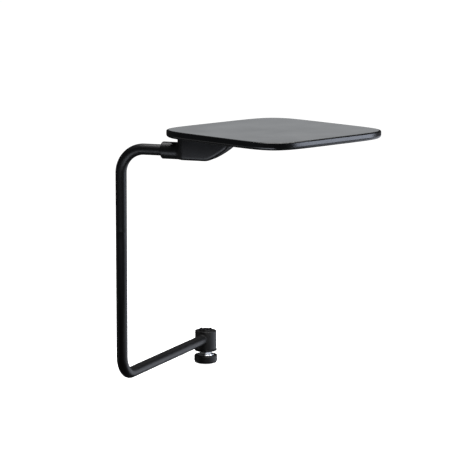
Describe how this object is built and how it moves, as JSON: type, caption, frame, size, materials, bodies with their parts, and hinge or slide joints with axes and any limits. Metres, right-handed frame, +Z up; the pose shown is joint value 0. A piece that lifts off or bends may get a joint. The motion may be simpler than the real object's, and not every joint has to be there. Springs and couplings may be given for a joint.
{
  "type": "clip-on shelf",
  "caption": "Small soft-cornered square shelf on a two-part swivelling steel tube arm with an adjustable round foot, hung on a bolt under the side of a bed or sofa.",
  "frame": {"origin": "centre of the pivot sleeve's top face, where the frame's bolt enters from above", "axes": "+Z up along the pivot thread; +X along the shelf's diagonal at rest, towards the right in the picture; -Y towards the camera"},
  "size_m": [0.5809, 0.7455, 0.6214],
  "materials": {
    "black_coat": "semi-gloss black powder coat on steel",
    "cast_coat": "semi-gloss black powder coat on die-cast aluminium",
    "black_plastic": "satin black moulded plastic",
    "sole_rubber": "matt black rubber",
    "bright_chrome": "bright chrome plate",
    "dark_steel": "turned steel with black oxide",
    "zinc_steel": "bright zinc plated steel",
    "insert_brass": "turned brass",
    "shelf_board": "board in black satin lacquer",
    "shelf_laminate": "satin grey laminate"
  },
  "bodies": {
    "pivot": {"pivot_sleeve": "dark_steel"},
    "foot_base": {"foot_puck": "black_plastic", "foot_sole": "sole_rubber"},
    "foot_stem": {"foot_screw": "bright_chrome", "foot_clip": "zinc_steel"},
    "lower_arm": {"pivot_hub": "black_coat", "hub_bush": "black_plastic", "hub_weld": "black_coat", "lower_tube": "black_coat", "swivel_liner": "black_plastic"},
    "upper_arm": {"upper_tube": "black_coat", "swivel_spigot": "zinc_steel", "bracket_housing": "cast_coat", "grub_screws": "zinc_steel", "bracket_lid": "zinc_steel", "lid_screws": "zinc_steel", "swivel_bush": "black_plastic"},
    "shelf": {"slip_washer": "black_plastic", "disc_springs": "zinc_steel", "swivel_bolt": "zinc_steel", "swivel_washer": "zinc_steel", "swivel_nut": "zinc_steel", "shelf_plate": "zinc_steel", "plate_screws": "zinc_steel", "shelf_inserts": "insert_brass", "shelf_core": "shelf_board", "top_sheet": "shelf_laminate"}
  },
  "joints": [
    {"name": "foot_travel", "type": "slide", "parent": "pivot", "child": "foot_base", "axis": [0, 0, -1], "range_m": [0, 0.009]},
    {"name": "foot_turn", "type": "hinge", "parent": "foot_base", "child": "foot_stem", "pos_m": [0, 0, -0.05], "axis": [0, 0, -1], "range_deg": [0, 2160]},
    {"name": "arm_swivel", "type": "hinge", "parent": "pivot", "child": "lower_arm", "pos_m": [0, 0, -0.022], "axis": [0, 0, 1], "continuous": true},
    {"name": "upper_swivel", "type": "hinge", "parent": "lower_arm", "child": "upper_arm", "pos_m": [-0.18143, -0.41726, 0.3065], "axis": [0, 0, 1], "continuous": true},
    {"name": "shelf_swivel", "type": "hinge", "parent": "upper_arm", "child": "shelf", "pos_m": [0.00767, -0.48238, 0.5236], "axis": [0, 0, 1], "continuous": true}
  ],
  "couplings": [
    {"joint": "foot_travel", "follows": "foot_turn", "m_per_rad": 0.00023873}
  ]
}
